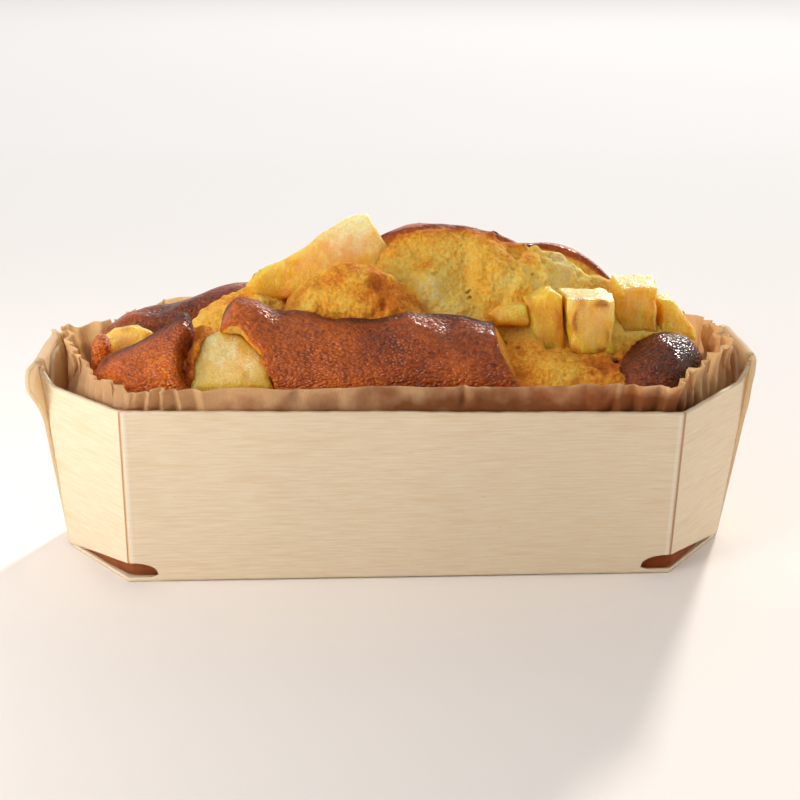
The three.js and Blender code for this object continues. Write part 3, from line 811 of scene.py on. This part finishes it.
# the split's back wall is torn at a slant, with the crust's edge over it
torn_wall = plane((12, 8, 87.6), (0.06, -0.72, 0.70)) + 0.9 * lumps + 0.5 * knobs
torn_wall = np.maximum(torn_wall, plane((-4.5, 8, 84), (-0.85, -0.1, 0.5)) + 0.6 * knobs)
wall_core = np.maximum(back_high + 1.4, torn_wall)
back_high_crust = np.maximum(back_high, torn_wall + 0.7)
back_right_crust = np.maximum(back_right, plane((40, 12, 75), (0.1, -1, 0.25)) + 0.5 * knobs)

crust = np.minimum(front_left, front_long_torn)
for lobe in (front_right, back_far, back_left_torn):
    crust = np.minimum(crust, lobe)
crust = blend_in(crust, back_low, 4)
crust = np.minimum(np.minimum(crust, back_high_crust), back_right_crust)
crust = blend_in(crust, knob + 0.5 * knobs, 1.5)
crust = crust + 0.35 * lumps + 0.12 * knobs + 0.06 * grit

crumb = blend_in(loaf, torn_left, 5)
for lobe in (right_crumb, right_slope, right_front, far_right, syrup):
    crumb = blend_in(crumb, lobe, 5)
crumb = blend_in(crumb, blend_in(wall_core, ridge, 4), 2)
crumb = crumb + 0.45 * lumps + 0.50 * knobs + 0.38 * grit + 0.24 * fine
hump = hump + 0.30 * lumps + 0.22 * knobs + 0.26 * grit + 0.22 * fine
crumb = np.minimum(crumb, hump)

# gas holes in the open crumb: a few large ones and many small
holes = [((26.6, 2, 76.8), 1.5), ((19.4, -4.5, 71.2), 2.3),
         ((17.4, -4.3, 71.6), 1.7), ((10, 0, 80.5), 1.4)]
dice = np.random.default_rng(77)
near_surface = np.argwhere((abs(crumb) < 0.5) & (crumb < crust) & (crumb < hump - 0.3))
for index in near_surface[dice.choice(len(near_surface), 420, replace=False)]:
    middle = box.low + index * CAKE_STEP
    holes.append((tuple(middle), dice.uniform(0.35, 1.0)))
for middle, radius in holes:
    reach = radius + 1.2
    first = np.clip(((np.array(middle) - reach - box.low) / CAKE_STEP).astype(int), 0, None)
    last = ((np.array(middle) + reach - box.low) / CAKE_STEP).astype(int) + 2
    part = tuple(slice(a, b) for a, b in zip(first, last))
    away = np.sqrt((box.x[part[0]] - middle[0]) ** 2 + (box.y[:, part[1]] - middle[1]) ** 2
                   + ((box.z[:, :, part[2]] - middle[2]) * 1.3) ** 2)
    crumb[part] = np.maximum(crumb[part], radius - away)

# inside the paper: the octagon, a little clear of the pleats
sx, sy = abs(box.x), abs(box.y)
side_length, side_width, fold_x, fold_y = mould_inside(box.z, VENEER + AIR + 1.5)
run_x, run_y = side_length - fold_x, side_width - fold_y
corner = ((sx - fold_x) * run_y + (sy - side_width) * run_x) / np.sqrt(run_x ** 2 + run_y ** 2)
pleats = 3.0 * smooth_step(25, 48, box.z) * smooth_step(62, 76, sx)
left_lean = 6.0 * smooth_step(38, 55, box.z) * (box.x < 0) * smooth_step(8, 0, box.y)
right_lean = 1.5 * smooth_step(40, 56, box.z) * (box.x > 0) * smooth_step(26, 14, box.y)
past_ends = sx - side_length + pleats + (left_lean + right_lean)
inside_paper = np.maximum(np.maximum(past_ends, sy - side_width), corner + pleats)

whole = -blend_in(-np.minimum(crust, crumb), -inside_paper, 3)
for name, pear in PEARS.items():
    distance, flat, deep, up, through = pear_distance(pear, box.x, box.y, box.z)
    whole = np.maximum(whole, -distance - 0.4)
    if name in ("pear_front", "pear_cube_left", "pear_cube_right", "pear_wedge", "pear_lens"):
        # the batter drew back from the face that shows
        bared = flat
        if name == "pear_front":
            beside = np.maximum(-50 - box.x, box.x + 33.6 + 0.3 * (box.z - 58))
            bared = np.minimum(flat, np.maximum(beside, box.z - 58))
        lap = 0.9 if name == "pear_front" else 0.25
        uncovered = np.maximum(bared + 0.15 * grit - lap, pear["thickness"] / 2 - 3.5 - through)
        above_foot = (60 - box.z) * (name != "pear_front")
        uncovered = np.maximum(np.maximum(uncovered, 2 - front_right), above_foot)
        whole = np.maximum(whole, -uncovered)

points, faces = box.surface(whole)
faces = np.array(faces)
keep = points[faces][:, :, 2].max(1) > CAKE_CUT
faces = faces[keep]
used, faces = np.unique(faces, return_inverse=True)
points, faces = points[used], faces.reshape(-1, 4)


def with_plain_foot(points, faces):
    """Closes the open lower edge with a plain tapering side and a flat foot."""
    edges = np.concatenate([faces[:, [i, (i + 1) % 4]] for i in range(4)])
    key = np.sort(edges, 1)
    _, first, counts = np.unique(key, axis=0, return_index=True, return_counts=True)
    open_edges = edges[first[counts == 1]]
    follow = dict(zip(open_edges[:, 1], open_edges[:, 0]))
    start = max(follow, key=lambda i: -points[i][1])
    loop, here = [start], follow[start]
    while here != start and len(loop) <= len(follow):
        loop.append(here)
        here = follow[here]
    loop = np.array(loop)
    foot_z = cake_lo[2]
    foot, cut = [mould_inside(z, VENEER + SIDE_INSET) for z in (foot_z, CAKE_CUT)]
    rings = [loop]
    for t in (0.12, 1.0):
        lower = points[loop].copy()
        scale = 1 + t * (np.array([foot[0] / cut[0], foot[1] / cut[1]]) - 1)
        lower[:, :2] *= scale
        lower[:, 2] = CAKE_CUT + t * (foot_z - CAKE_CUT)
        rings.append(np.arange(len(points), len(points) + len(loop)))
        points = np.concatenate([points, lower])
    sides = []
    for upper, lower in zip(rings, rings[1:]):
        sides.append(np.stack([upper, np.roll(upper, -1), np.roll(lower, -1), lower], -1))
    return points, faces.tolist() + np.concatenate(sides).tolist() + [rings[-1].tolist()]


points, faces = with_plain_foot(points, faces)

# what each point is: skin (1) or crumb (0), and how brown it baked, with painted shade added low in the
# split
high = points[:, 2] > CAKE_CUT
at_crust, at_crumb, at_hump = [box.sample(v, points) for v in (crust, crumb, hump)]
at_lumps, at_knobs, at_grit = [box.sample(v, points) for v in (lumps, knobs, grit)]
hull = np.minimum(np.minimum(back_high, back_right), np.minimum(front_long, back_left))
hull = np.maximum(np.minimum(hull, crust), inside_paper + 0.6)
depth = np.clip(-box.sample(hull, points), 0, 20)
px, py, pz = points.T


def near(spots):
    """A sum of soft spots, each a middle, a reach and an amount."""
    return sum(
        amount * np.exp(-((px - x) ** 2 + (py - y) ** 2 + (pz - z) ** 2) / reach ** 2)
        for (x, y, z), reach, amount in spots
    )


def along_ridge(ridge, wide):
    """One along the top of a ridge line, fading out over this width."""
    line = np.array(ridge, float).T
    away = (py - np.interp(px, line[0], line[1])) ** 2 + (pz - np.interp(px, line[0], line[2])) ** 2
    return np.exp(-away / wide ** 2) * (px > line[0, 0]) * (px < line[0, -1])


skin = smooth_step(-0.15, 0.35, at_crumb - at_crust) * smooth_step(1.9, 0.9, depth)
skin = np.maximum(skin, smooth_step(1.2, 0.4, box.sample(knob, points)))
brink = np.exp(-np.clip(-box.sample(torn_wall, points), 0, 30) / 2.4) * smooth_step(72, 78, pz)
skin = np.where(high, skin * (1 - 0.75 * brink), 1.0)
on_hump = smooth_step(0.5, -0.1, at_hump - at_crumb) * (1 - skin)
rim = np.exp(-depth / 2.2) * smooth_step(72, 82, pz) * smooth_step(44, 26, px)
torn_edge = np.exp(-depth / 1.2) * (at_crust < at_crumb + 0.3)
# the crumb below about 60 mm is painted darker: painted shade deep in the split
crumb_bake_and_shade = 0.205 + 0.42 * rim + 0.04 * at_lumps + 0.035 * at_knobs + 0.20 * smooth_step(66, 55, pz)
crumb_bake_and_shade = crumb_bake_and_shade + 0.3 * torn_edge
crumb_bake_and_shade = crumb_bake_and_shade + near([
    ((7, -3, 81), 3.2, 0.28), ((27, 0, 76), 4, 0.12), ((33, -8, 70), 4, 0.25), ((52, -26, 56), 8, 0.22),
    ((42, 2, 79), 15, -0.06), ((-52, -28, 58), 9, 0.24), ((-51, -22, 66), 6, 0.20),
    ((30, -22, 62), 7, 0.16), ((-45, 0, 70), 9, 0.10), ((-47, -18, 68), 7, 0.05),
])
hump_bake = 0.47 + 0.05 * at_lumps + 0.06 * at_knobs + 0.04 * at_grit
hump_bake = hump_bake + near([((3, -12, 74), 7, -0.14), ((-12, -20, 74), 9, -0.08)])
crumb_bake_and_shade = on_hump * hump_bake + (1 - on_hump) * crumb_bake_and_shade
lip = np.exp(-np.clip(at_crumb - at_crust, 0, 9) / 1.4)
lip = lip * smooth_step(60, 67, pz) * smooth_step(84, 78, pz)
lip = np.maximum(lip, np.maximum(along_ridge(long_ridge, 2.6), along_ridge(left_ridge, 2.8)))
skin_bake = 0.64 + 0.05 * at_lumps + 0.03 * at_knobs + 0.24 * lip + near([
    ((68, -20, 60), 17, 0.30), ((-38, -20, 76), 8, 0.10), ((-56, -22, 72), 6, 0.12),
    ((-58, 12, 68), 22, 0.10), ((-80, -9, 60), 6, -0.06), ((-66, -30, 56), 14, -0.08),
    ((10, 10, 88), 24, -0.05), ((10, -33, 58), 24, -0.02), ((-33, -30, 62), 12, -0.10),
    ((60, 22, 68), 18, 0.05),
])
bake_and_shade = np.clip(skin * skin_bake + (1 - skin) * crumb_bake_and_shade, 0, 1)
skin = skin * (1 - 0.55 * np.clip(lip, 0, 1))  # the torn lips are dry and matt

cake = mesh_object("pear_loaf", points, faces, values={"bake_and_shade": bake_and_shade, "skin": skin})
faces_outwards(cake)


def cake_material():
    """Baked batter. The crumb is pale to golden yellow, matt and open, and light gets a few
    millimetres into it. The skin is caramel brown, finely wrinkled, with a soft buttery shine."""
    material, tree = new_material("baked_crust_and_crumb")
    place = add(tree, "TexCoord").outputs["Object"]
    bake_and_shade, skin = [
        add(tree, "Attribute", attribute_name=key).outputs["Fac"] for key in ("bake_and_shade", "skin")]
    crumb = add(tree, "Math", 1.0, skin, operation="SUBTRACT")
    slant = add(tree, "Mapping", place, Rotation=(0, math.radians(38), 0),
                Scale=[1 / (mm * MM) for mm in (0.95, 0.7, 0.65)])
    pebbles = add(tree, "TexVoronoi", slant, Scale=1.0)
    wrinkles = add(tree, "TexNoise", slant, Scale=0.6, Detail=2.0, Roughness=0.5)
    wrinkles = add(tree, "Math", pebbles, -0.55, wrinkles, operation="MULTIPLY_ADD")
    mottle = add(tree, "TexNoise", place, Scale=1 / (1.6 * MM), Detail=3.0, Roughness=0.65)
    open_crumb = add(tree, "TexNoise", place, Scale=1 / (0.9 * MM), Detail=4.0, Roughness=0.7)
    cells = add(tree, "TexVoronoi", place, Scale=1 / (1.3 * MM))
    pits = add(tree, "ValToRGB", add(tree, "TexVoronoi", place, Scale=1 / (2.6 * MM)),
               stops=[(0.07, "#FFFFFF"), (0.16, "#000000")])
    mottled = add(tree, "Math", mottle, 0.34, bake_and_shade, operation="MULTIPLY_ADD")
    # painted shade: the skin is darker in the low gaps of its pebbled, wrinkled relief, and pits add
    # dark specks
    crevice_shade_and_pits = add(tree, "Math", wrinkles, -0.20, 0.05, operation="MULTIPLY_ADD")
    crevice_shade_and_pits = add(tree, "Math", pits, 0.14, crevice_shade_and_pits, operation="MULTIPLY_ADD")
    browned_and_shaded = add(tree, "Math", crevice_shade_and_pits, skin, mottled, operation="MULTIPLY_ADD")
    grainy = add(tree, "Math", open_crumb, 0.4, -0.21, operation="MULTIPLY_ADD")
    browned_and_shaded = add(tree, "Math", grainy, crumb, browned_and_shaded, operation="MULTIPLY_ADD")
    browned_and_shaded = add(tree, "Math", browned_and_shaded, 0.17, operation="SUBTRACT", use_clamp=True)
    tone = add(tree, "ValToRGB", browned_and_shaded, stops=[
        (0.00, "#FFE6AE"), (0.14, "#FFDA6C"), (0.28, "#FFBC3C"), (0.42, "#E4861C"),
        (0.56, "#C25E10"), (0.70, "#98420C"), (0.84, "#62280A"), (1.00, "#281006")])
    # painted shade: the crumb is darker orange in the hollow middles of its pores
    pore_shade = add(tree, "ValToRGB", cells, stops=[(0.08, "#A0A0A0"), (0.30, "#000000")])
    pore_shade = add(tree, "Math", pore_shade, crumb, operation="MULTIPLY")
    tone = add(tree, "Mix", pore_shade, tone, "#D08A28", data_type="RGBA")
    skin_relief = add(tree, "Math", wrinkles, skin, operation="MULTIPLY")
    crumb_relief = add(tree, "Math", cells, 0.8, open_crumb, operation="MULTIPLY_ADD")
    crumb_relief = add(tree, "Math", crumb_relief, 1.7, operation="MULTIPLY")
    crumb_relief = add(tree, "Math", crumb_relief, crumb, operation="MULTIPLY")
    relief = add(tree, "Math", skin_relief, 1.6, crumb_relief, operation="MULTIPLY_ADD")
    normal = add(tree, "Bump", Height=relief, Strength=1.0, Distance=0.55 * MM)
    add(tree, "OutputMaterial", add(
        tree, "BsdfPrincipled", Base_Color=tone, Normal=normal,
        Roughness=add(tree, "MapRange", skin, 0.0, 1.0, 0.9, 0.29), Specular_IOR_Level=0.42,
        Subsurface_Weight=0.3, Subsurface_Radius=(1.0, 0.5, 0.14), Subsurface_Scale=2.2 * MM))
    return material


cake.data.materials.append(cake_material())
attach(cake, "root")
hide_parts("cake")


# ---- pear chunks ----
# The cut fruit itself: wet, translucent and pale, amber where the juice has cooked down and paler
# towards the top as painted light, with caramel specks along the edges that stood nearest the heat.
def pear_material():
    """Baked pear: clear pale flesh that light goes far into, wet and glossy, with stone-cell grain."""
    material, tree = new_material("baked_pear")
    place = add(tree, "TexCoord").outputs["Object"]
    amber, toast = [
        add(tree, "Attribute", attribute_name=key).outputs["Fac"] for key in ("amber", "toast")]
    grain = add(tree, "TexNoise", place, Scale=1 / (0.8 * MM), Detail=3.0, Roughness=0.6)
    cloud = add(tree, "TexNoise", place, Scale=1 / (4 * MM), Detail=2.0)
    beads = add(tree, "TexNoise", place, Scale=1 / (0.55 * MM), Detail=1.0)
    along = add(tree, "Mapping", place, Scale=[1 / (mm * MM) for mm in (1.2, 1.2, 7)])
    fibres = add(tree, "TexNoise", along, Scale=1.0, Detail=3.0, Roughness=0.6)
    cooked = add(tree, "Math", cloud, 0.6, amber, operation="MULTIPLY_ADD")
    cooked = add(tree, "Math", cooked, 0.3, operation="SUBTRACT", use_clamp=True)
    tone = add(tree, "ValToRGB", cooked, stops=[
        (0.0, "#FEF2C6"), (0.3, "#FAD284"), (0.65, "#FFCE48"), (1.0, "#FCA824")])
    stone = add(tree, "ValToRGB", grain, stops=[(0.42, "#707070"), (0.56, "#000000")])
    tone = add(tree, "Mix", stone, tone, "#D09A48", data_type="RGBA")
    strands = add(tree, "ValToRGB", fibres, stops=[
        (0.34, "#E0A040"), (0.5, "#808080"), (0.66, "#FFFCE8")])
    tone = add(tree, "Mix", 0.4, tone, strands, data_type="RGBA", blend_type="SOFT_LIGHT")
    burnt = add(tree, "Math", grain, 0.25, operation="ADD")
    burnt = add(tree, "Math", burnt, toast, operation="MULTIPLY", use_clamp=True)
    tone = add(tree, "Mix", burnt, tone, "#9A4A12", data_type="RGBA")
    relief = add(tree, "Math", grain, beads, operation="ADD")
    relief = add(tree, "Math", cloud, 1.4, relief, operation="MULTIPLY_ADD")
    normal = add(tree, "Bump", Height=relief, Strength=0.9, Distance=0.4 * MM)
    add(tree, "OutputMaterial", add(
        tree, "BsdfPrincipled", Base_Color=tone, Normal=normal, Roughness=0.3, IOR=1.4,
        Subsurface_Weight=1.0, Subsurface_Radius=(1.0, 0.72, 0.3), Subsurface_Scale=8.0 * MM,
        Coat_Weight=0.4, Coat_Roughness=0.12))
    return material


pear_flesh = pear_material()
PEAR_STEP = 0.4
for number, (name, pear) in enumerate(PEARS.items()):
    node_lo, node_hi = [np.array(corner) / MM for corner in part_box(name)]
    around = Lattice(node_lo - 3, node_hi + 3, PEAR_STEP)
    distance, flat, deep, up, through = pear_distance(pear, around.x, around.y, around.z)
    soft = around.noise(4.5, 300 + number) + 0.8 * around.noise(9, 500 + number)
    grain = around.noise(1.7, 400 + number)
    distance = distance + 0.28 * soft + 0.14 * grain - 0.15
    chunk_points, chunk_faces = around.surface(distance)
    at_flat, at_deep, at_soft = [around.sample(v, chunk_points) for v in (flat, deep, soft)]
    from_edge = np.maximum(-at_flat, -at_deep)
    spots = smooth_step(0.25, 1.1, at_soft + 0.5 * np.sin(chunk_points[:, 0]))
    toast = pear["toast"] * np.exp(-np.clip(from_edge, 0, 20) / 0.7) * spots
    height = into_pear(pear, *chunk_points.T)[1]
    span = np.ptp(np.array(pear["outline"])[:, 1])
    edge_amber = 0.22 * np.exp(-np.clip(-at_flat, 0, 20) / 2.0)
    # painted light: paler towards the top and tip where light falls on and through the chunk; the deeper
    # amber lower down is cooked-down juice
    amber = pear["amber"] - pear["lit_top_fade"] * height / span + edge_amber + 0.05 * at_soft
    amber = np.clip(amber, 0, 1)
    marks = {"toast": toast, "amber": amber}
    chunk = mesh_object(name + "_flesh", chunk_points, chunk_faces, values=marks)
    faces_outwards(chunk)
    chunk.data.materials.append(pear_flesh)
    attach(chunk, "root")
    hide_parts(name)


# ---- floor and light ----
# A pale board, a low window light from behind on the right, and soft cards that lift the top, the
# front, both ends and the backdrop.
floor_size = 4.0
floor = mesh_object(
    "floor",
    np.array([(-1, -1, 0), (1, -1, 0), (1, 1, 0), (-1, 1, 0)]) * floor_size / MM,
    [(0, 1, 2, 3)],
)


def floor_material():
    """Matt off-white board. Its colour is painted light and shade: darker towards the camera for the
    shade there, whiter further off for the window light.
    """
    material, tree = new_material("pale_board")
    away = add(tree, "SeparateXYZ", add(tree, "TexCoord").outputs["Object"]).outputs["Y"]
    away = add(tree, "MapRange", away, -0.3, 0.7, 0.0, 1.0)
    # painted shade near the camera, painted window light further off
    tone = add(tree, "ValToRGB", away, stops=[(0.0, "#E0D8D3"), (0.32, "#F5EFEB"), (1.0, "#FEFEFE")])
    surface = add(tree, "BsdfPrincipled", Base_Color=tone, Roughness=0.9, Specular_IOR_Level=0.1)
    add(tree, "OutputMaterial", surface)
    return material


floor.data.materials.append(floor_material())


def lamp(name, kind, power, tint, towards, **settings):
    """A lamp that shines along a direction; area lamps stand back from the object along it."""
    light = bpy.data.lights.new(name, kind)
    light.energy = power
    light.color = colour(tint)[:3]
    stand_back = settings.pop("stand_back", 0.0)
    for key, value in settings.items():
        setattr(light, key, value)
    holder = bpy.data.objects.new(name, light)
    direction = Vector(towards).normalized()
    holder.location = look_at + direction * stand_back
    holder.rotation_mode = "QUATERNION"
    holder.rotation_quaternion = (-direction).to_track_quat("-Z", "Y")
    bpy.context.collection.objects.link(holder)
    return holder


key_height = math.radians(25.5)
lamp("window", "SUN", 2.75, "#FFFAF4",
     (0.45 * math.cos(key_height), 0.89 * math.cos(key_height), math.sin(key_height)),
     angle=math.radians(6))
lamp("overhead", "AREA", 0.10, "#FFFFFF", (0.08, -0.36, 0.9), stand_back=0.6, size=0.14)
lamp("front_card", "AREA", 0.42, "#FFFFFF", (-0.25, -0.52, 0.82), stand_back=0.5, size=0.28)
lamp("backdrop", "AREA", 4.4, "#FFFFFF", (0.12, 0.8, 0.6), stand_back=2.0, size=1.6)
lamp("right_card", "AREA", 0.42, "#FFFBF5", (0.95, -0.16, 0.14), stand_back=0.45, size=0.2)
lamp("left_fill", "AREA", 0.86, "#FFFBF5", (-0.74, -0.50, 0.26), stand_back=0.38, size=0.2)
world = bpy.data.worlds.new("soft_room")
world.use_nodes = True
sky = world.node_tree
way = add(sky, "SeparateXYZ", add(sky, "TexCoord").outputs["Generated"])
room_glow = add(sky, "Math", way.outputs["Y"], 0.30, 0.40, operation="MULTIPLY_ADD")
room_glow = add(sky, "Math", way.outputs["X"], 0.05, room_glow, operation="MULTIPLY_ADD")
sky.links.new(room_glow.outputs[0], sky.nodes["Background"].inputs["Strength"])
sky.nodes["Background"].inputs["Color"].default_value = colour("#FFFEFD")
bpy.context.scene.world = world
bpy.context.scene.view_settings.view_transform = "Standard"
